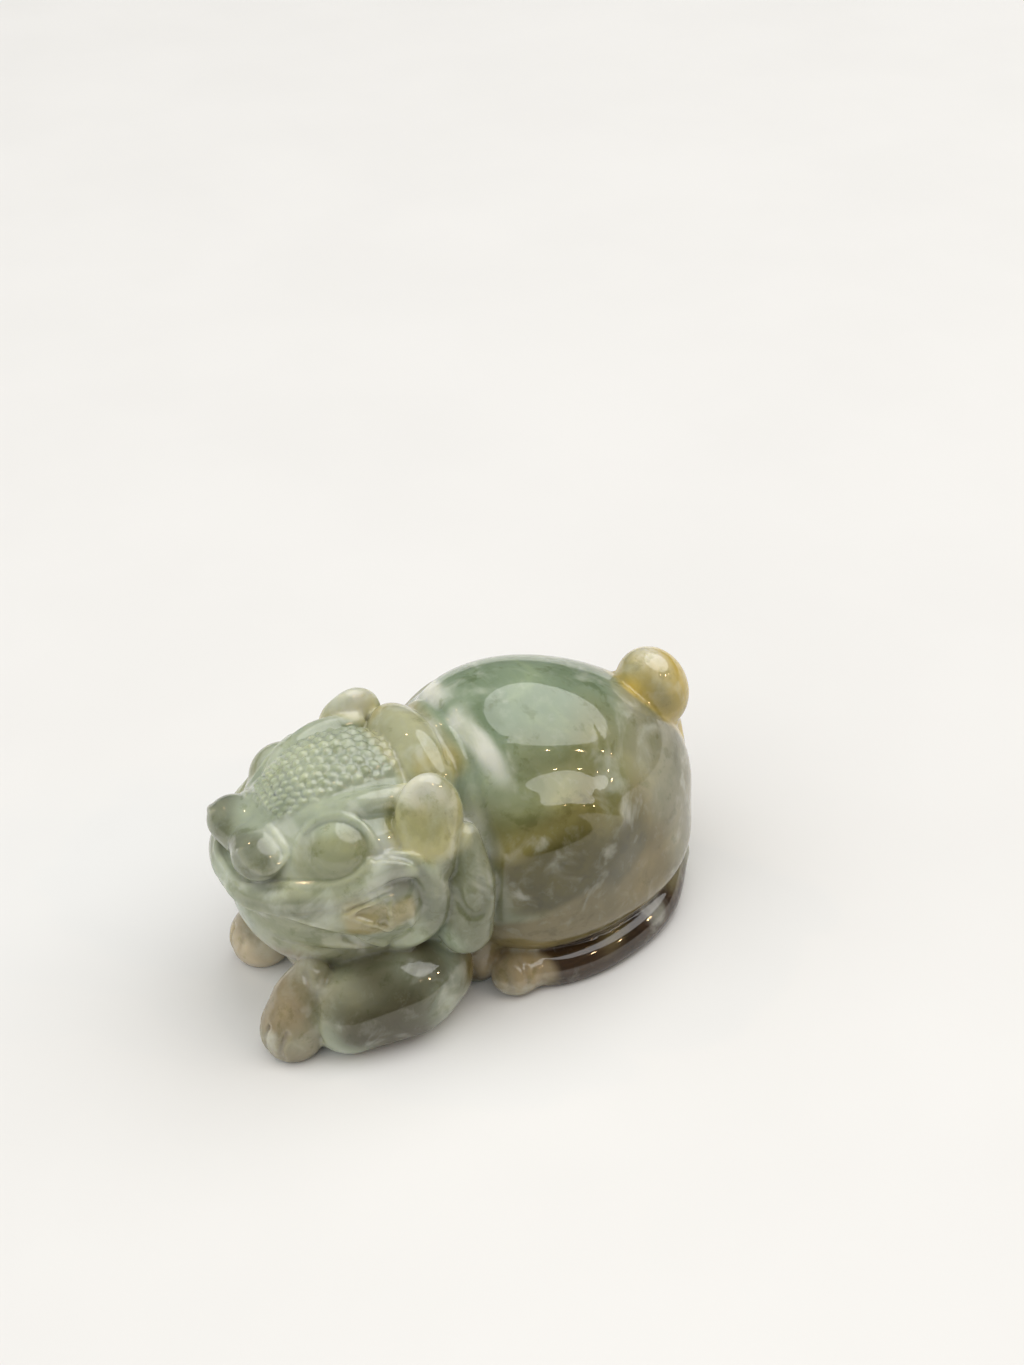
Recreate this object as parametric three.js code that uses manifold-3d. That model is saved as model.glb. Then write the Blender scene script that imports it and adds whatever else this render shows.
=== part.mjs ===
// A small jade carving of a crouching pixiu, cut from one pebble and polished: a round
// barrel body with heavy haunches, a wide-mouthed head with curled jowls, bulging eyes and
// leaf-shaped ears, folded legs under it, and a bobbed tail on the rump.
// Millimetres, +Z up. The origin is on the surface it stands on, under its middle. It
// faces -Y, and +X is its own left side.
import * as THREE from "three";
import { edgeTable, triTable } from "three/addons/objects/MarchingCubes.js";
import Module from "manifold-3d";

// Driving dimensions
const LENGTH = 45; // from the nose to the rump
const WIDTH = 25.7; // across the legs
const HEIGHT = 24.4; // from the standing surface to the top of the back

// The figure is drawn in hundredths of its body and then scaled to the sizes above. These
// are the bounds that it is drawn in.
const FRONT = -56;
const BACK = 62;
const HALF_WIDTH = 33;
const TOP = 60;
const FINEST = 2.25; // facets at the nose
const COARSEST = 3.9; // facets at the rump
const UNDERCUT = 4; // how far the forms run on below the standing surface before it cuts them
const RELAX_STEPS = 8; // rounds of evening out the facets

// Shapes are functions of a point that give the distance from a surface, negative inside.

function ellipsoid(centre, radii, turnDeg = [0, 0, 0]) {
  const turn = new THREE.Euler(...turnDeg.map(THREE.MathUtils.degToRad));
  const inverse = new THREE.Matrix4().makeRotationFromEuler(turn).transpose().elements;
  const [rx, ry, rz] = radii;
  return (x, y, z) => {
    const dx = x - centre[0];
    const dy = y - centre[1];
    const dz = z - centre[2];
    const px = (inverse[0] * dx + inverse[4] * dy + inverse[8] * dz) / rx;
    const py = (inverse[1] * dx + inverse[5] * dy + inverse[9] * dz) / ry;
    const pz = (inverse[2] * dx + inverse[6] * dy + inverse[10] * dz) / rz;
    const near = Math.hypot(px, py, pz);
    const slope = Math.hypot(px / rx, py / ry, pz / rz);
    return slope < 1e-9 ? -Math.min(rx, ry, rz) : (near * (near - 1)) / slope;
  };
}

// A round limb along a smooth curve through the points, with a radius at each point.
function limb(points, radii) {
  const knots = points.map((p) => new THREE.Vector3(...p));
  const curve = new THREE.CatmullRomCurve3(knots, false, "catmullrom");
  const spans = 4 * (points.length - 1);
  const stations = [];
  for (let i = 0; i <= spans; i++) {
    const at = (i / spans) * (points.length - 1);
    const k = Math.min(Math.floor(at), points.length - 2);
    const radius = THREE.MathUtils.lerp(radii[k], radii[k + 1], at - k);
    stations.push({ p: curve.getPoint(i / spans), radius });
  }
  return (x, y, z) => {
    let best = Infinity;
    for (let i = 0; i < spans; i++) {
      const { p: a, radius: ra } = stations[i];
      const { p: b, radius: rb } = stations[i + 1];
      const ex = b.x - a.x;
      const ey = b.y - a.y;
      const ez = b.z - a.z;
      const dx = x - a.x;
      const dy = y - a.y;
      const dz = z - a.z;
      const share = (dx * ex + dy * ey + dz * ez) / (ex * ex + ey * ey + ez * ez);
      const t = Math.min(1, Math.max(0, share));
      const far = Math.hypot(dx - t * ex, dy - t * ey, dz - t * ez);
      best = Math.min(best, far - (ra + t * (rb - ra)));
    }
    return best;
  };
}

// A ring of round section about an axis
function hoop(centre, axis, radius, thickness) {
  const n = new THREE.Vector3(...axis).normalize();
  return (x, y, z) => {
    const d = [x - centre[0], y - centre[1], z - centre[2]];
    const along = d[0] * n.x + d[1] * n.y + d[2] * n.z;
    const out = Math.sqrt(Math.max(d[0] ** 2 + d[1] ** 2 + d[2] ** 2 - along * along, 0));
    return Math.hypot(out - radius, along) - thickness;
  };
}

const bothSides = (shape) => (x, y, z) => shape(Math.abs(x), y, z);

function softMin(a, b, width) {
  const h = Math.max(width - Math.abs(a - b), 0) / width;
  return Math.min(a, b) - (h * h * width) / 4;
}

const joined = (width, ...shapes) => (x, y, z) =>
  shapes.map((shape) => shape(x, y, z)).reduce((a, b) => softMin(a, b, width));

// The body: a barrel, the rump behind it, a haunch on each side, and the underside from the
// belly to the brisket between the elbows
function makeBody() {
  const barrel = ellipsoid([0, 10.5, 31], [24.6, 26.3, 27.7]);
  const rump = ellipsoid([0, 26.5, 25.6], [24.8, 27, 24.8]);
  const haunch = bothSides(ellipsoid([16.8, 12.5, 27], [14, 19.5, 20.4]));
  const belly = ellipsoid([0, 19.5, 14], [28.4, 32.6, 13]);
  const brisket = ellipsoid([0, -4, 6], [21.4, 9, 14]);
  const trunk = joined(2.5, joined(13, barrel, rump), haunch);
  return joined(2, joined(7, trunk, belly), brisket);
}

// A hind foot lies forward along the ground under each haunch.
function makeHindFeet() {
  const sole = limb(
    [[22.2, 2.4, 4], [25.6, 10, 3.2], [25.4, 22, 3.2], [20, 36, 3.6], [8, 47, 5]],
    [4, 4.4, 4.6, 4.8, 5],
  );
  const toes = ellipsoid([24.2, 0.8, 3.8], [4.8, 5.4, 4.4], [0, 0, -12]);
  return bothSides(joined(1.5, sole, toes));
}

// A folded foreleg: the forearm lies on the ground, and the paw points forward. The right
// one is tucked further in and back.
function makeForeleg(side, inward, back) {
  const forearm = limb([[19, -16.5, 9], [21, -23, 9], [20, -34.5, 7.6]], [9, 10.2, 8.9]);
  const wrist = limb([[15.3, -40.2, 15], [15.8, -43.6, 11], [16.4, -45, 6]], [4, 5.2, 5.8]);
  const paw = ellipsoid([16.8, -45.6, 4.6], [6.4, 6.4, 6.6], [0, 0, 8]);
  const leg = joined(1, forearm, joined(2.5, wrist, paw));
  return (x, y, z) => leg(side * x + inward, y - back, z);
}

// The face, with the upper lip rolled back into a curl round each jowl
const EYE = [13.2, -31, 41.8];
const GAZE = new THREE.Vector3(0.74, -0.5, 0.45).normalize();

function makeHead() {
  const skull = ellipsoid([0, -24.4, 36.5], [17, 19.4, 18.6]);
  const muzzle = ellipsoid([0, -36, 32], [15, 12, 14]);
  const jaw = ellipsoid([0, -31.5, 23.4], [18, 15.6, 14]);
  const temple = bothSides(ellipsoid([11, -26, 39], [10, 14, 10]));
  const jowl = bothSides(ellipsoid([19.4, -24, 31], [5.4, 8.5, 9]));
  const brow = bothSides(
    limb(
      [[4.6, -38.2, 46], [9.7, -32.3, 48.6], [12.5, -24, 50], [13.5, -15, 49]],
      [1.5, 2.4, 2.6, 2.4],
    ),
  );
  const eye = bothSides(ellipsoid(EYE, [6.8, 6.8, 6.8]));
  const lidCentre = GAZE.toArray().map((g, n) => EYE[n] + 3.2 * g);
  const lid = bothSides(hoop(lidCentre, GAZE, 6.9, 1.1));
  const nostril = bothSides(ellipsoid([6.2, -44.6, 41.2], [5.8, 5.4, 4.6]));
  const bridge = bothSides(limb([[1.5, -44, 40.2], [4, -36, 43]], [4.8, 5.4]));
  const lip = bothSides(
    limb(
      [[0, -48.2, 33], [6, -47.6, 33.2], [12.5, -43.9, 34.4], [17.5, -37, 36], [20.3, -30.5, 38.5],
        [22, -24.5, 41.3], [23, -18.5, 39.5], [23.6, -16, 33], [23, -17, 26],
        [20.5, -21.5, 21.5], [16, -28, 19.5]],
      [2.9, 2.9, 3.1, 3.1, 2.8, 2.6, 2.6, 2.6, 2.7, 2.8, 2.4],
    ),
  );
  const flew = bothSides(
    limb([[9, -43.5, 32], [15.5, -37.5, 31.5], [19.3, -30.5, 31.5], [20.6, -24, 31.5]], [3.4, 4.2, 4.6, 4.4]),
  );
  const lowerLip = bothSides(
    limb(
      [[0, -44.8, 26.8], [6, -44.3, 26.8], [12.5, -41, 26.3], [17.3, -34.5, 25], [20, -27, 22.5]],
      [3, 3, 3, 2.8, 2],
    ),
  );
  const face = joined(3, joined(6, skull, muzzle, jaw), temple, jowl, flew);
  const lipped = joined(1.2, face, brow, lip, lowerLip, joined(2, bridge, nostril));
  return joined(0.5, joined(0.8, lipped, lid), eye);
}

function makeEars() {
  const leaf = ellipsoid([18, -14, 46.2], [3.8, 7, 9], [0, -14, 0]);
  const tip = ellipsoid([21.4, -15.6, 40], [3.2, 5, 7], [0, -14, 0]);
  return bothSides(joined(3, leaf, tip));
}

// The mane: a lobe over the nape and a lock behind each jowl
function makeMane() {
  const nape = ellipsoid([0, -8.8, 47.2], [15, 6.6, 8.6]);
  const lock = bothSides(limb([[21.5, -9, 42], [23.8, -8.5, 31], [23.4, -10, 21]], [4, 4.9, 5.6]));
  const neck = ellipsoid([0, -12, 28], [23.8, 17.5, 23]);
  const chest = ellipsoid([0, -24, 16], [20, 17.4, 18]);
  return joined(1, joined(4, neck, chest), nape, lock);
}

function makeTail() {
  const knob = ellipsoid([0, 47.4, 43.4], [7.8, 7.6, 9.8], [20, 0, 0]);
  const stem = limb([[0, 48, 42], [0, 50.8, 33], [0, 53.4, 23]], [5, 3.6, 3]);
  return joined(1.5, knob, stem);
}

function makeFigure() {
  const legs = joined(1, makeHindFeet(), makeForeleg(1, 0, 0), makeForeleg(-1, 5.2, 5.2));
  const fore = joined(0.8, makeHead(), makeEars());
  return joined(0.8, joined(0.8, makeBody(), makeMane()), fore, legs, makeTail());
}

// The surface of a shape as one closed mesh. The corner and edge order of a cell is the
// one that three.js's marching cubes tables use.
const CORNERS = [[0, 0, 0], [1, 0, 0], [1, 1, 0], [0, 1, 0], [0, 0, 1], [1, 0, 1], [1, 1, 1], [0, 1, 1]];
const EDGES = [[0, 1], [1, 2], [3, 2], [0, 3], [4, 5], [5, 6], [7, 6], [4, 7], [0, 4], [1, 5], [2, 6], [3, 7]];

// The grid's cells grow from the front to the back, since the finest carving is on the face.
function polygonise(shape) {
  const growth = 1 + (COARSEST - FINEST) / (BACK - FRONT);
  const cellAt = (j) => FINEST * growth ** j;
  const yAt = (j) => FRONT + (FINEST * (growth ** j - 1)) / (growth - 1);
  const across = 2 * Math.ceil(HALF_WIDTH / FINEST) + 1;
  const along = Math.ceil(Math.log(COARSEST / FINEST) / Math.log(growth)) + 2;
  const up = Math.ceil((TOP + UNDERCUT) / FINEST) + 3;
  const count = [across, along, up];
  const index = (i, j, k) => i + count[0] * (j + count[1] * k);
  const place = (i, j, k) => [
    (i - (across - 1) / 2) * cellAt(j),
    yAt(j),
    (k - 2.5) * cellAt(j) - UNDERCUT,
  ];
  const values = new Float64Array(count[0] * count[1] * count[2]);
  for (let k = 0; k < count[2]; k++)
    for (let j = 0; j < count[1]; j++)
      for (let i = 0; i < count[0]; i++) values[index(i, j, k)] = shape(...place(i, j, k));

  const vertices = [];
  const triangles = [];
  const vertexOfEdge = new Map();
  const vertexOn = (corners, [a, b]) => {
    const ends = [corners[a], corners[b]];
    const ids = ends.map((c) => index(...c));
    const key = ids[0] * values.length + ids[1];
    if (!vertexOfEdge.has(key)) {
      const share = values[ids[0]] / (values[ids[0]] - values[ids[1]]);
      const [p, q] = ends.map((c) => place(...c));
      vertexOfEdge.set(key, vertices.length);
      vertices.push(p.map((v, n) => v + share * (q[n] - v)));
    }
    return vertexOfEdge.get(key);
  };
  for (let k = 0; k < count[2] - 1; k++)
    for (let j = 0; j < count[1] - 1; j++)
      for (let i = 0; i < count[0] - 1; i++) {
        const corners = CORNERS.map(([x, y, z]) => [i + x, j + y, k + z]);
        let state = 0;
        corners.forEach((c, bit) => {
          if (values[index(...c)] > 0) state |= 1 << bit;
        });
        if (!edgeTable[state]) continue;
        for (let n = 16 * state; triTable[n] !== -1; n += 3)
          triangles.push([0, 1, 2].map((m) => vertexOn(corners, EDGES[triTable[n + m]])));
      }
  return { vertices, triangles };
}

// Moves a point along the slope of the shape's distance until it lies on the surface.
function settle(shape, p) {
  const h = 0.02;
  for (let round = 0; round < 3; round++) {
    const d = shape(...p);
    const slope = [0, 1, 2].map((n) => {
      const q = [...p];
      q[n] += h;
      return (shape(...q) - d) / h;
    });
    const steep = slope.reduce((sum, s) => sum + s * s, 0);
    const step = THREE.MathUtils.clamp(d / Math.max(steep, 0.1), -1, 1);
    slope.forEach((s, n) => (p[n] -= step * s));
  }
}

// Evens out the facets: each vertex moves towards the middle of its neighbours, and back
// to the surface.
function relax(shape, { vertices, triangles }) {
  const neighbours = vertices.map(() => new Set());
  for (const t of triangles)
    t.forEach((v, n) => neighbours[v].add(t[(n + 1) % 3]).add(t[(n + 2) % 3]));
  for (let round = 0; round < RELAX_STEPS; round++) {
    const moved = vertices.map((p, v) => {
      const middle = [0, 0, 0];
      for (const other of neighbours[v]) vertices[other].forEach((c, n) => (middle[n] += c));
      return p.map((c, n) => (c + middle[n] / neighbours[v].size) / 2);
    });
    moved.forEach((p, v) => {
      settle(shape, p);
      vertices[v] = p;
    });
  }
}

const wasm = await Module();
wasm.setup();

function solidFrom({ vertices, triangles }) {
  return new wasm.Manifold(
    new wasm.Mesh({
      numProp: 3,
      vertProperties: new Float32Array(vertices.flat()),
      triVerts: new Uint32Array(triangles.flat()),
    }),
  );
}

// The stone is solid: a gap that the forms leave sealed inside it is filled.
function outermost(solid) {
  return solid.decompose().reduce((a, b) => (a.volume() > b.volume() ? a : b));
}

function solidOfGeometry(geometry) {
  const position = geometry.getAttribute("position");
  const vertices = [];
  const triangles = [];
  const seen = new Map();
  const idOf = (n) => {
    const p = [position.getX(n), position.getY(n), position.getZ(n)];
    const key = p.join();
    if (!seen.has(key)) {
      seen.set(key, vertices.length);
      vertices.push(p);
    }
    return seen.get(key);
  };
  for (let n = 0; n < geometry.index.count; n += 3)
    triangles.push([0, 1, 2].map((m) => idOf(geometry.index.getX(n + m))));
  return solidFrom({ vertices, triangles });
}

function geometryOf(solid) {
  const mesh = solid.getMesh();
  const positions = new Float32Array(mesh.numVert * 3);
  for (let v = 0; v < mesh.numVert; v++)
    positions.set(mesh.vertProperties.subarray(v * mesh.numProp, v * mesh.numProp + 3), v * 3);
  return new THREE.BufferGeometry()
    .setAttribute("position", new THREE.BufferAttribute(positions, 3))
    .setIndex(new THREE.BufferAttribute(mesh.triVerts, 1));
}

function makeCarving() {
  const figure = makeFigure();
  const openBelow = (x, y, z) => -softMin(-figure(x, y, z), z + UNDERCUT, 1);
  const mesh = polygonise(openBelow);
  relax(openBelow, mesh);
  const whole = outermost(solidFrom(mesh));

  const ground = new THREE.BoxGeometry(4 * HALF_WIDTH, 4 * BACK, TOP);
  ground.translate(0, 0, -TOP / 2);
  const standing = whole.subtract(solidOfGeometry(ground));

  const geometry = geometryOf(standing);
  geometry.computeBoundingBox();
  const middle = geometry.boundingBox.getCenter(new THREE.Vector3());
  const drawn = geometry.boundingBox.getSize(new THREE.Vector3());
  geometry.translate(-middle.x, -middle.y, 0);
  geometry.scale(WIDTH / drawn.x, LENGTH / drawn.y, HEIGHT / drawn.z);
  geometry.computeVertexNormals();
  return geometry;
}

const jade = new THREE.MeshStandardMaterial({ color: 0x8f9f80, roughness: 0.18, metalness: 0 });
const carving = new THREE.Mesh(makeCarving(), jade);
carving.name = "jade_pixiu";

const part = new THREE.Group();
part.add(carving);

export default part;
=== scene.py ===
"""A small polished jade carving of a pixiu lying on a pale surface."""

import bpy
import numpy as np
from mathutils import Matrix, Vector


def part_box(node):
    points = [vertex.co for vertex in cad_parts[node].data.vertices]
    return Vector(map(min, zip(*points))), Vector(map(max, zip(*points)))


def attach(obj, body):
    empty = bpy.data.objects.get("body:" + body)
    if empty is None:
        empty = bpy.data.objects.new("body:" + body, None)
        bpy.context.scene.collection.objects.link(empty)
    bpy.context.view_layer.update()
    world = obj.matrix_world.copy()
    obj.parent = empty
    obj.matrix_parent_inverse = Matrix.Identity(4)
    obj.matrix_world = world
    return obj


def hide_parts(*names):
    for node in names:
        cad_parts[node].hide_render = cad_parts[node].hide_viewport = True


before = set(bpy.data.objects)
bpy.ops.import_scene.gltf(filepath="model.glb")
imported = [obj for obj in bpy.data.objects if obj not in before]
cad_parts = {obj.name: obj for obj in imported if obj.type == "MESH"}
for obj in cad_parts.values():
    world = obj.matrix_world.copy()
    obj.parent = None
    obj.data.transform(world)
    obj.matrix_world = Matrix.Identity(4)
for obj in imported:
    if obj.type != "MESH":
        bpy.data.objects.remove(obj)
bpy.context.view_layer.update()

# The figure is drawn in hundredths of its body, as in the CAD model: X to its left, Y to
# its rear and Z up, with Z = 0 where it stands.
FINEST = 0.42  # the mesh's cells at the nose
COARSEST = 0.86  # and at the rump
FRONT, BACK, HALF_WIDTH, HEIGHT = -56, 62, 33, 60  # the space that holds the figure
CULL = 4  # beyond this distance a small form only says roughly how far it is
SKULL = ((0, -24.4, 36.5), (17, 19.4, 18.6))  # centre and radii


# Shapes are functions of an array of points. They give the distance from a surface,
# negative inside.

def rotation(degrees):
    """Turns about X, Y and Z, as one matrix."""
    a, b, c = np.radians(degrees)
    about_x = [[1, 0, 0], [0, np.cos(a), -np.sin(a)], [0, np.sin(a), np.cos(a)]]
    about_y = [[np.cos(b), 0, np.sin(b)], [0, 1, 0], [-np.sin(b), 0, np.cos(b)]]
    about_z = [[np.cos(c), -np.sin(c), 0], [np.sin(c), np.cos(c), 0], [0, 0, 1]]
    return np.array(about_x) @ about_y @ about_z


def ellipsoid(centre, radii, turn=(0, 0, 0)):
    """An ellipsoid, turned by degrees about X, Y and Z."""
    turn = rotation(turn)

    def distance(p):
        q = (p - centre) @ turn / radii
        near = np.linalg.norm(q, axis=1)
        slope = np.linalg.norm(q / radii, axis=1)
        return near * (near - 1) / np.maximum(slope, 1e-6)

    return distance


def smooth_curve(points, per_span=5):
    """A uniform Catmull-Rom curve through the points."""
    p = np.array(points, float)
    p = np.vstack([2 * p[0] - p[1], p, 2 * p[-1] - p[-2]])
    t = np.linspace(0, 1, per_span, endpoint=False)[:, None]
    spans = []
    for a, b, c, d in zip(p, p[1:], p[2:], p[3:]):
        cubic = (-a + 3 * b - 3 * c + d) * t**3 + (2 * a - 5 * b + 4 * c - d) * t**2
        spans.append(0.5 * (cubic + (c - a) * t + 2 * b))
    return np.vstack(spans + [p[-2:-1]])


def limb(points, radii, per_span=5):
    """A round limb along a smooth curve, with one radius or a radius at each point."""
    path = smooth_curve(points, per_span)
    if np.ndim(radii) == 0:
        radii = [radii] * len(points)
    station = np.linspace(0, len(points) - 1, len(path))
    radius = np.interp(station, range(len(points)), radii)
    low = (path - radius[:, None]).min(axis=0)
    high = (path + radius[:, None]).max(axis=0)

    def distance(p):
        out = np.linalg.norm(np.maximum(np.maximum(low - p, p - high), 0), axis=1)
        close = out < CULL
        q = p[close]
        best = np.full(len(q), np.inf)
        for a, b, ra, rb in zip(path, path[1:], radius, radius[1:]):
            along = b - a
            t = np.clip((q - a) @ along / (along @ along), 0, 1)
            far = np.linalg.norm(q - a - t[:, None] * along, axis=1)
            best = np.minimum(best, far - ra - t * (rb - ra))
        out[close] = best
        return out

    return distance


def hoop(centre, axis, radius, thickness):
    """A round ring about an axis."""
    n = np.array(axis) / np.linalg.norm(axis)

    def distance(p):
        d = p - centre
        along = d @ n
        out = np.sqrt(np.maximum((d**2).sum(axis=1) - along**2, 0))
        return np.hypot(out - radius, along) - thickness

    return distance


def both_sides(shape):
    """A shape or relief on the left, and its mirror image on the right."""
    return lambda p: shape(p * np.sign(p[:, :1] + 1e-9) ** [1, 0, 0])


def soft_min(a, b, width):
    """The smaller of two distances, rounded over where they are nearly alike."""
    h = np.maximum(width - np.abs(a - b), 0) / width
    return np.minimum(a, b) - h * h * width / 4


def joined(width, *shapes):
    """Shapes that run into one another, with a fillet about as wide as the width."""

    def distance(p):
        d = shapes[0](p)
        for shape in shapes[1:]:
            d = soft_min(d, shape(p), width)
        return d

    return distance


# Reliefs are functions of points too. They give how far the surface is raised there.

def line(height, half_width, *points):
    """A raised line along a curve on the surface, or with a negative height a groove."""
    curve = limb(points, 0)
    return lambda p: height * np.exp(-((curve(p) / half_width) ** 2))


def scales(p):
    """Rounded scales in staggered rows over the dome of the forehead."""
    side_arc, length_arc = 18, 19
    row_pitch, reach, rise = 0.84, 0.56, 0.95
    half_width, front, back = 10.5, -19, 11.5
    centre, radii = SKULL
    q = (p - centre) / radii
    across = side_arc * np.arctan2(q[:, 0], q[:, 2])
    along = length_arc * np.arctan2(q[:, 1], q[:, 2])
    size = 2.75 + 0.03 * along
    u = across / size + 0.12 * np.sin(0.7 * along)
    v = along / (row_pitch * size) + 0.15 * np.sin(0.5 * across)
    nearest = np.full(len(p), np.inf)
    for row in (np.floor(v), np.floor(v) + 1):
        off = (u + 0.5 * (row % 2)) % 1 - 0.5
        nearest = np.minimum(nearest, np.hypot(off, row_pitch * (v - row)))
    height = rise * np.clip(1 - (nearest / reach) ** 2, 0, 1)
    inward = np.clip((half_width - np.abs(across)) / 1.5, 0, 1)
    ahead = np.clip((along - front) / 2, 0, 1) * np.clip((back - along) / 2, 0, 1)
    on_top = q[:, 2] > 0.15
    return height * inward * ahead * on_top


def embossed(shape, *reliefs):
    """A shape with its surface raised and cut by the reliefs."""
    return lambda p: shape(p) - sum(relief(p) for relief in reliefs)


# The body: a barrel, the rump behind it, and a haunch on each side

def body():
    barrel = ellipsoid((0, 10.5, 31), (24.6, 26.3, 27.7))
    rump = ellipsoid((0, 26.5, 25.6), (24.8, 27, 24.8))
    haunch = both_sides(ellipsoid((16.8, 12.5, 27), (14, 19.5, 20.4)))
    belly = ellipsoid((0, 19.5, 14), (28.4, 32.6, 13))
    brisket = ellipsoid((0, -4, 6), (21.4, 9, 14))
    trunk = joined(2.5, joined(13, barrel, rump), haunch)
    valley = line(-0.9, 2.6, (15, 0, 50), (18.5, 4, 49.5), (20, 10, 49), (21, 15.5, 48), (22, 21, 45.5))
    shelf = line(0.8, 1.8, (24.5, -1, 36.5), (23.6, 2.4, 40.6), (24, 6, 42.6), (24.8, 10, 43.4),
                 (25.6, 14.6, 42.4), (26.4, 19, 40), (27, 23, 36.5))
    whole = joined(2, joined(7, trunk, belly), brisket)
    return embossed(whole, both_sides(valley), both_sides(shelf))


def hind_feet():
    sole = limb(
        [(22.2, 2.4, 4), (25.6, 10, 3.2), (25.4, 22, 3.2), (20, 36, 3.6), (8, 47, 5)],
        (4, 4.4, 4.6, 4.8, 5), per_span=8,
    )
    toes = ellipsoid((24.2, 0.8, 3.8), (4.8, 5.4, 4.4), (0, 0, -12))
    between = [
        line(-0.7, 0.6, (24, -2.6, 8), (26.2, -2.6, 6.4), (27.6, -2.6, 3.4), (27.4, -2.8, 0)),
        line(-0.7, 0.6, (25.4, 1.2, 8.2), (27.6, 1, 6.4), (29, 0.8, 3.4), (29, 0.6, 0)),
    ]
    heel = line(-0.6, 0.6, (26.6, 5.2, 8), (29, 5.4, 5.6), (30, 5.6, 2.4), (29.6, 5.6, 0))
    return both_sides(embossed(joined(1.5, sole, toes), heel, *between))


def foreleg(side, inward, back):
    """A folded foreleg on the left (1) or right (-1), drawn in and back by so much."""
    forearm = limb([(19, -16.5, 9), (21, -23, 9), (20, -34.5, 7.6)], (9, 10.2, 8.9), per_span=18)
    wrist = limb([(15.3, -40.2, 15), (15.8, -43.6, 11), (16.4, -45, 6)], (4, 5.2, 5.8))
    paw = ellipsoid((16.8, -45.6, 4.6), (6.4, 6.4, 6.6), (0, 0, 8))
    fold = line(-0.6, 0.8, (17.3, -41.9, 17.9), (19.6, -41.6, 15.2), (22, -41.8, 11), (23, -42, 6))
    toes = [
        line(-0.8, 0.6, (13.6 + x, -50.6 + y, 8.4), (13.4 + x, -52 + y, 4.6), (13.4 + x, -52 + y, 0))
        for x, y in ((0, 0), (4, 0.2), (7.6, 2))
    ]
    leg = embossed(joined(1, forearm, joined(2.5, wrist, paw)), fold, *toes)
    return lambda p: leg(p * (side, 1, 1) + (inward, -back, 0))


# The face, with the upper lip rolled back into a curl round each jowl

EYE = (13.2, -31, 41.8)
GAZE = np.array((0.74, -0.50, 0.45)) / np.linalg.norm((0.74, -0.50, 0.45))


def head():
    skull = ellipsoid(*SKULL)
    muzzle = ellipsoid((0, -36, 32), (15, 12, 14))
    jaw = ellipsoid((0, -31.5, 23.4), (18, 15.6, 14))
    temple = both_sides(ellipsoid((11, -26, 39), (10, 14, 10)))
    jowl = both_sides(ellipsoid((19.4, -24, 31), (5.4, 8.5, 9)))
    brow = both_sides(
        limb([(4.6, -38.2, 46), (9.7, -32.3, 48.6), (12.5, -24, 50), (13.5, -15, 49)],
             (1.5, 2.4, 2.6, 2.4))
    )
    eye = both_sides(ellipsoid(EYE, (7.1, 7.1, 7.1)))
    lid = both_sides(hoop(EYE + 3.2 * GAZE, GAZE, 7.3, 0.8))
    nostril = both_sides(ellipsoid((6.2, -44.6, 41.2), (5.8, 5.4, 4.6)))
    bridge = both_sides(limb([(1.5, -44, 40.2), (4, -36, 43)], (4.8, 5.4)))
    snout = joined(2, bridge, nostril)
    lip = both_sides(
        limb(
            [(0, -48.2, 33), (6, -47.6, 33.2), (12.5, -43.9, 34.4), (17.5, -37, 36),
             (20.3, -30.5, 38.5), (22, -24.5, 41.3), (23, -18.5, 39.5), (23.6, -16, 33),
             (23, -17, 26), (20.5, -21.5, 21.5), (16, -28, 19.5)],
            (2.9, 2.9, 3.1, 3.1, 2.8, 2.6, 2.6, 2.6, 2.7, 2.8, 2.4),
        )
    )
    flew = both_sides(
        limb([(9, -43.5, 32), (15.5, -37.5, 31.5), (19.3, -30.5, 31.5), (20.6, -24, 31.5)],
             (3.4, 4.2, 4.6, 4.4))
    )
    lower_lip = both_sides(
        limb([(0, -44.8, 26.8), (6, -44.3, 26.8), (12.5, -41, 26.3), (17.3, -34.5, 25),
              (20, -27, 22.5)],
             (3, 3, 3, 2.8, 2))
    )
    face = joined(3, joined(6, skull, muzzle, jaw), temple, jowl, flew)
    lipped = joined(1.2, face, brow, lip, lower_lip, snout)
    lidded = joined(0.5, joined(0.8, lipped, lid), eye)
    return embossed(lidded, scales, both_sides(face_lines()))


# Fine edges that the carver left standing and lines that were cut, each with its half
# width and its points
RIDGES = {
    "nostril": (0.6, (5.1, -41.7, 46.3), (8.1, -41.1, 45.1), (10.8, -40.8, 42.8), (11.9, -45, 41.2),
                (10.2, -48, 42.8), (6.9, -48.7, 44.1)),
    "upper lip": (0.6, (0, -49.6, 35.8), (6, -49.1, 35.7), (10.2, -46.1, 37), (13.5, -41.9, 38),
                  (17.5, -38.1, 39), (20.2, -34.4, 39.9), (21.2, -31.1, 41.2), (20.9, -28, 43)),
    "mouth": (0.5, (3, -50.2, 32.4), (8.9, -49.4, 32.5), (12.8, -47.5, 33.4), (15.6, -44.6, 33),
              (17.5, -41.6, 31.8), (20, -38.2, 30.8), (21, -34.3, 28.4), (21.4, -30.4, 25.2)),
    "corner": (0.5, (21.6, -34.1, 35.2), (22.7, -30.3, 36.5), (23.2, -25.6, 37.5)),
    "tooth": (0.45, (22.2, -34.3, 33.4), (23.3, -30.7, 34.9), (24, -26.1, 36), (25.1, -26.6, 33.2),
              (24.8, -26.6, 28.4), (24.7, -29.5, 30.6), (22.2, -34.3, 33.4)),
    "cheek": (0.7, (24.5, -23.2, 33.8), (25.2, -22.3, 31), (24.4, -22, 27.6)),
}
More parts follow.
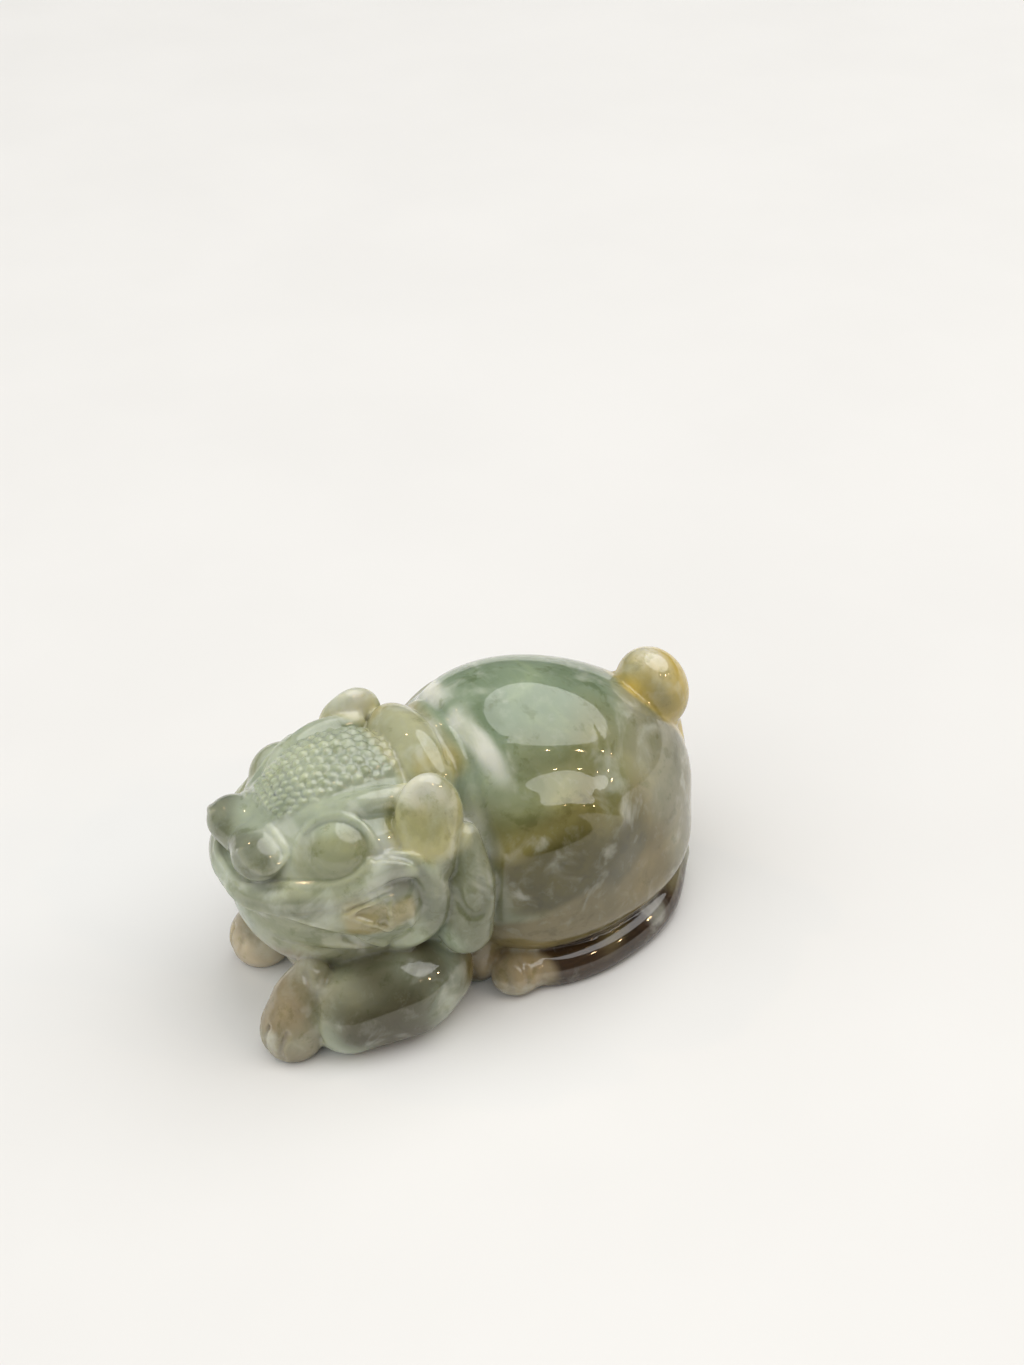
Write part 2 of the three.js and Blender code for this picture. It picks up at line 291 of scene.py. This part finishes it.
GROOVES = {
    "under the mouth": (0.7, (0, -50, 30), (4, -49.8, 30.4), (8.9, -48.4, 30.4), (12.8, -46.3, 30.6),
                        (15.6, -43.6, 30.2), (17.5, -41, 29.4), (20, -37.5, 28.6), (21, -33.3, 26.6)),
    "in the tooth": (1.5, (23.6, -31.4, 33.4), (24.6, -28.4, 32.8), (24.8, -27.9, 31)),
    "chin": (0.7, (20.1, -34, 26.2), (21, -29.8, 22.4), (21, -25.7, 19.8)),
    "curl": (0.8, (20.5, -26.7, 43.9), (24.1, -20.6, 42.4), (25.6, -19, 38), (25.6, -18.6, 32),
             (25.1, -19.4, 26.2), (23.9, -21.8, 22.6)),
}


def face_lines():
    """All the ridges and grooves of the face's left side, as one relief."""
    raised = [line(0.85, *ridge) for ridge in RIDGES.values()]
    cut = [line(-1.2, *groove) for groove in GROOVES.values()]
    return lambda p: sum(part(p) for part in raised + cut)


def ears():
    leaf = ellipsoid((18, -14, 46.2), (3.8, 7, 9), (0, -14, 0))
    tip = ellipsoid((21.4, -15.6, 40), (3.2, 5, 7), (0, -14, 0))
    hollow = line(-0.9, 2.2, (19, -15.6, 52), (21.2, -15.4, 48.4), (23, -15, 45))
    return both_sides(embossed(joined(3, leaf, tip), hollow))


# The mane: a lobe over the nape and a lock behind each jowl

def mane():
    nape = ellipsoid((0, -8.8, 47.2), (15, 6.6, 8.6))
    lock = both_sides(limb([(20, -7.6, 40), (23.8, -8.5, 31), (23.4, -10, 21)], (3, 4.9, 5.6), 16))
    neck = ellipsoid((0, -12, 28), (23.8, 17.5, 23))
    chest = ellipsoid((0, -24, 16), (20, 17.4, 18))
    hem = line(-0.8, 0.7, (-9, -4.6, 52.8), (-4.5, -3.9, 53.9), (2.1, -4.1, 54.3),
               (7.5, -5, 53), (11.3, -6.2, 51.9))
    inner = line(-1.1, 0.9, (24.8, -12.3, 38.7), (25.5, -12.5, 34.8), (26.7, -12.6, 30.7),
                 (28.5, -11, 27.9), (28.9, -8.8, 27.8), (28.8, -8, 30.2), (27.9, -8.3, 34.8))
    locks = embossed(joined(1, joined(4, neck, chest), nape, lock), both_sides(inner))
    return embossed(locks, hem)


def seam():
    """The groove between the mane and the body."""
    side = [(0, -2, 55.6), (6.3, -1.4, 54.8), (11.2, -1.6, 52.3), (14.5, -2.1, 49.1), (17.6, -2.4, 44.7),
            (20.4, -2.6, 40.1), (24, -4, 35.1), (26.4, -4.8, 29.2), (24.6, -4, 20)]
    return both_sides(line(-1.1, 0.9, *side))


def tail():
    """A round bob, and the strap that runs from it down the rump."""
    knob = ellipsoid((0, 47.4, 43.4), (7.8, 7.6, 9.8), (20, 0, 0))
    stem = limb([(0, 48, 42), (0, 50.8, 33), (0, 53.4, 23)], (5, 3.6, 3))
    return joined(1.5, knob, stem)


def figure():
    """The whole carving, cut level where it stands."""
    near = foreleg(side=1, inward=0, back=0)
    far = foreleg(side=-1, inward=5.2, back=5.2)
    legs = joined(1, hind_feet(), near, far)
    fore = joined(0.8, head(), ears())
    trunk = embossed(joined(0.8, body(), mane()), seam())
    whole = joined(0.8, trunk, fore, legs, tail())
    return lambda p: np.maximum(whole(p), -p[:, 2])


# The surface as a mesh of small quads, on a grid whose cells grow from nose to rump

# A cell's corners, as steps along X, Y and Z
CORNERS = [np.array([c & 1, c >> 1 & 1, c >> 2 & 1]) for c in range(8)]


def grid_points():
    """The grid over the figure: slices across it, each with square cells of its own size."""
    growth = 1 + (COARSEST - FINEST) / (BACK - FRONT)
    cells = np.ceil(np.log(COARSEST / FINEST) / np.log(growth))
    step = FINEST * growth ** np.arange(cells + 2)
    y = FRONT + FINEST * (growth ** np.arange(cells + 2) - 1) / (growth - 1)
    half = np.ceil(HALF_WIDTH / FINEST)
    i = np.arange(-half, half + 1)
    k = np.arange(-2, np.ceil(HEIGHT / FINEST) + 1)
    x = i[:, None, None] * step[None, :, None] + 0 * k
    z = (k + 0.5) * step[None, :, None] + 0 * i[:, None, None]
    return np.stack(np.broadcast_arrays(x, y[None, :, None], z), axis=-1)


def sampled(shape, points, every=4):
    """Distances at the grid's points, exact near the surface and rough elsewhere."""
    rough = shape(points[::every, ::every, ::every].reshape(-1, 3))
    rough = rough.reshape([(n + every - 1) // every for n in points.shape[:3]])
    values = rough
    for axis, n in enumerate(points.shape[:3]):
        values = np.repeat(values, every, axis=axis).take(np.arange(n), axis=axis)
    spare = 1.5
    close = np.abs(values) < every * COARSEST + spare
    values[close] = shape(points[close])
    return values


def settle(shape, p, rounds=2):
    """Moves points onto the surface, along the slope of its distance."""
    h = 0.03
    least_steep = 0.2
    longest = 0.5
    for _ in range(rounds):
        d = shape(p)
        slope = np.stack([(shape(p + h * axis) - d) / h for axis in np.eye(3)], axis=1)
        steep = np.maximum((slope**2).sum(axis=1), least_steep)
        p = p - np.clip(d / steep, -longest, longest)[:, None] * slope
    return p


def relax(shape, vertices, quads, rounds=2):
    """Evens the mesh out: each vertex moves towards its neighbours' mean, then back on."""
    start, end = np.vstack([quads[:, [i, (i + 1) % 4]] for i in range(4)]).T
    count = np.bincount(start)
    for _ in range(rounds):
        total = [np.bincount(start, vertices[end, axis]) for axis in range(3)]
        mean = np.stack(total, axis=1) / count[:, None]
        vertices = settle(shape, (vertices + mean) / 2, 1)
    return vertices


def crossed_cells(inside):
    """The cells that have corners on both sides of the surface."""
    cells = np.array(inside.shape) - 1
    parts = [tuple(slice(o, o + n) for o, n in zip(corner, cells)) for corner in CORNERS]
    number = sum(inside[part].astype(int) for part in parts)
    return np.argwhere((number > 0) & (number < 8))


def cell_vertices(crossed, points, values):
    """In each crossed cell, the mean of the places where the surface cuts its edges."""
    total = np.zeros((len(crossed), 3))
    count = np.zeros(len(crossed))
    for a in range(8):
        for b in (a | 1, a | 2, a | 4):
            if a == b:
                continue
            at_a, at_b = (tuple((crossed + CORNERS[c]).T) for c in (a, b))
            va, vb = values[at_a], values[at_b]
            cuts = (va < 0) != (vb < 0)
            t = np.where(cuts, va / np.where(cuts, va - vb, 1), 0)[:, None]
            total += cuts[:, None] * (points[at_a] * (1 - t) + points[at_b] * t)
            count += cuts
    return total / count[:, None]


def edge_quads(inside, crossed):
    """A quad round each grid edge that the surface cuts, facing out."""
    cells = np.array(inside.shape) - 1
    index = np.full(cells, -1)
    index[tuple(crossed.T)] = np.arange(len(crossed))
    quads = []
    for axis in range(3):
        u, v = np.roll(np.eye(3, dtype=int), -axis - 1, axis=0)[:2]
        ahead = np.roll(inside, -1, axis=axis)
        start = np.argwhere(inside != ahead)
        keep = (start > 0).all(axis=1) & (start < cells).all(axis=1)
        start = start[keep]
        ring = [index[tuple((start - s * u - t * v).T)] for s, t in ((0, 0), (1, 0), (1, 1), (0, 1))]
        ring = np.stack(ring, axis=1)
        leaving = inside[tuple(start.T)]
        quads.append(np.where(leaving[:, None], ring, ring[:, ::-1]))
    return np.vstack(quads)


def surface(shape):
    """The mesh of a shape, without specks of a single grid point."""
    points = grid_points()
    values = sampled(shape, points)
    inside = values < 0
    near = sum(np.roll(inside, way, axis) for axis in range(3) for way in (-1, 1))
    inside &= near > 0
    crossed = crossed_cells(inside)
    vertices = settle(shape, cell_vertices(crossed, points, values))
    quads = edge_quads(inside, crossed)
    return relax(shape, vertices, quads), quads


# Into metres, filling the CAD model's box

low, high = (np.array(corner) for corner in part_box("jade_pixiu"))
vertices, quads = surface(figure())
drawn_low, drawn_high = vertices.min(axis=0), vertices.max(axis=0)
unit = (high - low) / (drawn_high - drawn_low)


def to_metres(p):
    """A place in the figure's own units, as a place in the scene."""
    return low + (np.array(p) - drawn_low) * unit


# Where the stone changes colour, and a few patches of painted light and shade, alike on both sides:
# centre, reach, softness and colour.
# A later patch lies over the ones before it.

HEAD_GREEN = (0.33, 0.37, 0.275)
# The colour of the painted highlight along the face's fine ridges
PAINTED_RIDGE_HIGHLIGHT = (0.62, 0.63, 0.55)
PATCHES = {
    "back": ((0, 24, 52), (40, 34, 20), 0.8, (0.22, 0.28, 0.185)),
    "flank": ((22, 20, 34), (24, 24, 20), 0.6, (0.235, 0.24, 0.115)),
    "rear of the flank": ((24, 33, 27), (14, 14, 14), 0.8, (0.18, 0.145, 0.055)),
    "haunch": ((26, 10, 33), (14, 18, 12), 0.5, (0.185, 0.165, 0.056)),
    # Painted shade: a band across the lower haunch, darkened far below the stone's own colour so that it
    # shows a band that reflects no light.
    "painted shade of the haunch": ((28, 12, 29.5), (10, 18, 8.5), 0.7, (0.078, 0.068, 0.013)),
    "foot of the flank": ((24, 18, 10), (16, 34, 14), 0.3, (0.19, 0.156, 0.07)),
    "rump": ((14, 42, 40), (17, 14, 15), 0.8, (0.28, 0.275, 0.18)),
    "below the tail": ((14, 50, 26), (15, 14, 24), 0.8, (0.23, 0.22, 0.14)),
    "sole": ((24, 24, 3), (11, 34, 6.5), 0.5, (0.045, 0.024, 0.01)),
    "hind toes": ((26, -1, 4), (7, 7, 7), 0.5, (0.28, 0.23, 0.14)),
    "pale edge of the back": ((11, 0.8, 53.5), (8, 3.2, 8), 0.9, (0.62, 0.63, 0.55)),
    "pale shoulder": ((22, -5, 41), (4, 4, 7), 0.9, (0.45, 0.46, 0.38)),
    # The tail's yellow is partly the stone's own colour and partly a painted glow of light through the
    # thin stone.
    "tail": ((0, 50, 42), (11, 11, 15), 0.3, (0.50, 0.385, 0.09)),
    "top of the tail": ((2, 45, 54), (6, 5, 5), 0.9, (0.62, 0.58, 0.44)),
    "nape": ((0, -9, 50), (17, 7, 9), 0.5, (0.38, 0.385, 0.245)),
    "corner of the nape": ((11, -8, 50), (5, 3.5, 5), 0.9, (0.36, 0.32, 0.12)),
    "lock": ((25, -9, 30), (8, 6, 16), 0.5, (0.21, 0.22, 0.14)),
    "muzzle": ((17, -40, 30), (12, 16, 12), 0.9, (0.32, 0.335, 0.225)),
    "upper lip": ((14, -43, 34), (12, 10, 3.4), 0.6, (0.235, 0.25, 0.17)),
    "nostril": ((7, -46, 42), (7, 6, 6), 0.6, (0.175, 0.19, 0.135)),
    "eye": ((17, -33.5, 44), (6.5, 7, 6.5), 0.4, (0.265, 0.28, 0.165)),
    "tooth": ((24, -28, 32), (4, 6, 5), 0.5, (0.36, 0.32, 0.17)),
    "cheek": ((22, -24, 40), (5, 5, 4), 0.9, (0.29, 0.30, 0.24)),
    "curl of the lip": ((25, -18, 33), (4, 5, 10), 0.6, (0.21, 0.225, 0.155)),
    # The ears' yellow is partly the stone's own colour and partly a painted glow of light through the
    # thin stone. The paler top of the ear also holds a painted highlight.
    "ear": ((19, -14, 47), (8, 8, 13), 0.3, (0.43, 0.41, 0.22)),
    "top of the ear": ((18, -16, 55), (7, 8, 6), 0.9, (0.55, 0.55, 0.45)),
    "jaw": ((12, -35, 18), (17, 15, 9), 0.8, (0.38, 0.385, 0.27)),
    "forearm": ((21, -27, 10), (14, 13, 11), 0.5, (0.075, 0.068, 0.034)),
    "paw": ((14, -45, 7), (11.5, 10, 12), 0.5, (0.27, 0.225, 0.14)),
    # Painted light: the far paw, shaded by the head, is lightened as if light came through the stone.
    # Mirrored, this also lightens the inner side of the near paw.
    "painted glow inside the paws": ((10, -40, 5), (5.5, 6, 8), 0.5, (0.49, 0.42, 0.29)),
}


def drift(p):
    """Bends space a little, so that the patches' edges wander."""
    waves = [(0.31, 0.17, 0.23), (-0.19, 0.37, 0.13), (0.11, -0.29, 0.41)]
    return p + 1.7 * np.stack([np.sin(p @ w + i) for i, w in enumerate(np.array(waves))], axis=1)


def tint(p):
    """The colour at each point: the stone's own colours with the painted light and shade among the
    patches, and a painted highlight along the fine ridges of the face.
    """
    pair = drift(np.hstack([np.abs(p[:, :1]), p[:, 1:]]))
    colour = np.tile(HEAD_GREEN, (len(p), 1))
    for centre, reach, soft, patch in PATCHES.values():
        far = np.linalg.norm((pair - centre) / reach, axis=1)
        share = np.clip((1 + soft / 2 - far) / soft, 0, 1)[:, None]
        share = share * share * (3 - 2 * share)
        colour = colour * (1 - share) + np.array(patch) * share
    # Painted highlight: the face's fine ridges are whitened, by at most 0.3, as if they caught the
    # light.
    most = 0.3
    painted_highlight_share = sum(both_sides(line(most, *ridge))(p) for ridge in RIDGES.values())
    painted_highlight_share = np.clip(painted_highlight_share, 0, most)[:, None]
    return colour * (1 - painted_highlight_share) + np.array(PAINTED_RIDGE_HIGHLIGHT) * painted_highlight_share


def carving():
    """The fine mesh, which also carries each vertex's place and colour for the material."""
    mesh = bpy.data.meshes.new("jade_pixiu")
    mesh.from_pydata(to_metres(vertices).tolist(), [], quads.tolist())
    mesh.shade_smooth()
    place = mesh.attributes.new("drawn", "FLOAT_VECTOR", "POINT")
    place.data.foreach_set("vector", (vertices / 100).ravel())
    shade = mesh.attributes.new("tint", "FLOAT_COLOR", "POINT")
    shade.data.foreach_set("color", np.hstack([tint(vertices), np.ones((len(vertices), 1))]).ravel())
    piece = bpy.data.objects.new("jade", mesh)
    bpy.context.collection.objects.link(piece)
    return piece


# Materials

class Nodes:
    """A material's node tree, with short calls for the few nodes used here."""

    def __init__(self, name):
        self.material = bpy.data.materials.new(name)
        self.material.use_nodes = True
        self.tree = self.material.node_tree
        self.shader = self.tree.nodes["Principled BSDF"]

    def new(self, kind, **settings):
        node = self.tree.nodes.new(kind)
        for key, value in settings.items():
            setattr(node, key, value)
        return node

    def put(self, value, socket):
        if isinstance(value, bpy.types.NodeSocket):
            self.tree.links.new(value, socket)
        else:
            socket.default_value = value

    def attribute(self, name, output):
        return self.new("ShaderNodeAttribute", attribute_name=name).outputs[output]

    def noise(self, at, scale, detail=4, distortion=0, roughness=0.55):
        node = self.new("ShaderNodeTexNoise")
        self.put(at, node.inputs["Vector"])
        node.inputs["Scale"].default_value = scale
        node.inputs["Detail"].default_value = detail
        node.inputs["Roughness"].default_value = roughness
        node.inputs["Distortion"].default_value = distortion
        return node.outputs["Fac"]

    def stretch(self, value, low, high, to_low=0, to_high=1):
        node = self.new("ShaderNodeMapRange", interpolation_type="SMOOTHSTEP")
        for socket, x in zip(node.inputs, (value, low, high, to_low, to_high)):
            self.put(x, socket)
        return node.outputs["Result"]

    def mix(self, share, a, b, blend="MIX"):
        """A blend of two colours, whose sockets are the seventh and eighth."""
        node = self.new("ShaderNodeMix", data_type="RGBA", blend_type=blend)
        self.put(share, node.inputs[0])
        self.put(a, node.inputs[6])
        self.put(b, node.inputs[7])
        return node.outputs[2]


def jade_material():
    n = Nodes("jade")
    at = n.attribute("drawn", "Vector")
    colour = n.attribute("tint", "Color")

    clouds = n.noise(at, scale=8, detail=5, distortion=0.4)
    mottle = n.noise(at, scale=22, detail=5, distortion=0.3, roughness=0.6)
    wisps = n.noise(at, scale=10, detail=4, distortion=0.5, roughness=0.5)
    layers = [
        (n.stretch(clouds, 0.50, 0.70, 0, 0.5), (1.45, 1.40, 1.30, 1), "MULTIPLY"),
        (n.stretch(clouds, 0.50, 0.34, 0, 0.6), (0.62, 0.66, 0.55, 1), "MULTIPLY"),
        (n.stretch(mottle, 0.46, 0.32, 0, 0.6), (0.60, 0.62, 0.45, 1), "MULTIPLY"),
        (n.stretch(mottle, 0.54, 0.70, 0, 0.12), (0.52, 0.55, 0.46, 1), "MIX"),
        (n.stretch(wisps, 0.52, 0.72, 0, 0.45), (0.62, 0.64, 0.56, 1), "MIX"),
    ]
    for share, shade, blend in layers:
        colour = n.mix(share, colour, shade, blend)
    n.put(colour, n.shader.inputs["Base Color"])

    ripple = n.new("ShaderNodeBump")
    ripple.inputs["Strength"].default_value = 0.12
    ripple.inputs["Distance"].default_value = 0.0002
    n.put(n.noise(at, scale=14, detail=1), ripple.inputs["Height"])
    n.put(ripple.outputs["Normal"], n.shader.inputs["Normal"])

    n.shader.inputs["Subsurface Weight"].default_value = 0.9
    n.shader.inputs["Subsurface Radius"].default_value = (1.0, 0.95, 0.6)
    n.shader.inputs["Subsurface Scale"].default_value = 0.0006
    n.shader.inputs["Roughness"].default_value = 0.06
    n.shader.inputs["IOR"].default_value = 1.66
    return n.material


def surface_material():
    n = Nodes("surface")
    grain = n.noise(n.new("ShaderNodeTexCoord").outputs["Object"], scale=30, detail=3)
    colour = n.mix(n.stretch(grain, 0.3, 0.7), (0.675, 0.675, 0.66, 1), (0.69, 0.69, 0.675, 1))
    n.put(colour, n.shader.inputs["Base Color"])
    n.shader.inputs["Roughness"].default_value = 0.7
    return n.material


# The camera, as the photo has it: tilted 35 degrees down, on the piece's left and a little
# in front

def photo_camera():
    image_width, image_height = 1024, 1365
    focal = 2000
    middle, distance = (2.0, -3.3, 0), 424
    seen_x, seen_y = 450, 930  # where the image shows the middle
    pitch, roll, azimuth = np.radians((35, -1.5, 62))
    level = np.array((np.sin(azimuth), -np.cos(azimuth), 0)) * np.cos(pitch)
    back = level + (0, 0, np.sin(pitch))
    right = np.array((np.cos(azimuth), np.sin(azimuth), 0))
    up = np.cross(back, right)
    across = np.cos(roll) * right + np.sin(roll) * up
    upright = np.cos(roll) * up - np.sin(roll) * right
    aside = (seen_x - image_width / 2) / focal
    below = (seen_y - image_height / 2) / focal
    towards = -back + aside * across - below * upright
    place = to_metres(middle) - towards * distance * unit[1]

    camera = bpy.data.objects.new("camera", bpy.data.cameras.new("camera"))
    camera.data.lens = focal / image_height * camera.data.sensor_width
    camera.data.clip_start = 0.001
    camera.matrix_world = Matrix(np.column_stack((across, upright, back, place))).to_4x4()
    bpy.context.collection.objects.link(camera)
    bpy.context.scene.camera = camera


# The studio: a very large soft light overhead, a fill and the small warm lamps of a room

AIM = Vector((0, 0, 0.012))
DAYLIGHT = (1, 0.99, 0.975)
WARM = (1, 0.66, 0.36)
LAMPS = [(0.70, 0.35, 0.62), (0.64, 0.60, 0.47), (0.48, 0.78, 0.40), (-0.56, -0.28, 0.77)]


def disc_light(name, direction, distance, size, radiance, colour, mirrored=True):
    """A round light that faces the carving from the given direction."""
    light = bpy.data.lights.new(name, "AREA")
    light.shape = "ELLIPSE"
    light.size, light.size_y = size
    light.energy = radiance * np.pi * (np.pi * size[0] * size[1] / 4)
    light.color = colour
    lamp = bpy.data.objects.new(name, light)
    way = Vector(direction).normalized()
    lamp.location = AIM + way * distance
    lamp.rotation_euler = way.to_track_quat("Z", "Y").to_euler()
    lamp.visible_glossy = mirrored
    bpy.context.collection.objects.link(lamp)


def studio():
    world = bpy.data.worlds.new("room")
    world.use_nodes = True
    world.node_tree.nodes["Background"].inputs["Color"].default_value = (0.80, 0.88, 1.0, 1)
    world.node_tree.nodes["Background"].inputs["Strength"].default_value = 0.10
    bpy.context.scene.world = world
    bpy.context.scene.view_settings.view_transform = "Standard"
    disc_light("window", (0.02, 0.48, 0.87), 1.5, (2.1, 2.0), 2.3, DAYLIGHT)
    disc_light("fill", (0.10, -0.75, 0.8), 1.8, (3.6, 3.6), 1.6, DAYLIGHT, mirrored=False)
    for number, direction in enumerate(LAMPS):
        disc_light(f"lamp_{number}", direction, 1.2, (0.042, 0.042), 110, WARM)


def ground():
    mesh = bpy.data.meshes.new("ground")
    half = 3
    corners = [(-half, -half, 0), (half, -half, 0), (half, half, 0), (-half, half, 0)]
    mesh.from_pydata(corners, [], [(0, 1, 2, 3)])
    mesh.materials.append(surface_material())
    floor = bpy.data.objects.new("ground", mesh)
    bpy.context.collection.objects.link(floor)


jade = carving()
jade.data.materials.append(jade_material())
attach(jade, "root")
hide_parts("jade_pixiu")
ground()
studio()
photo_camera()
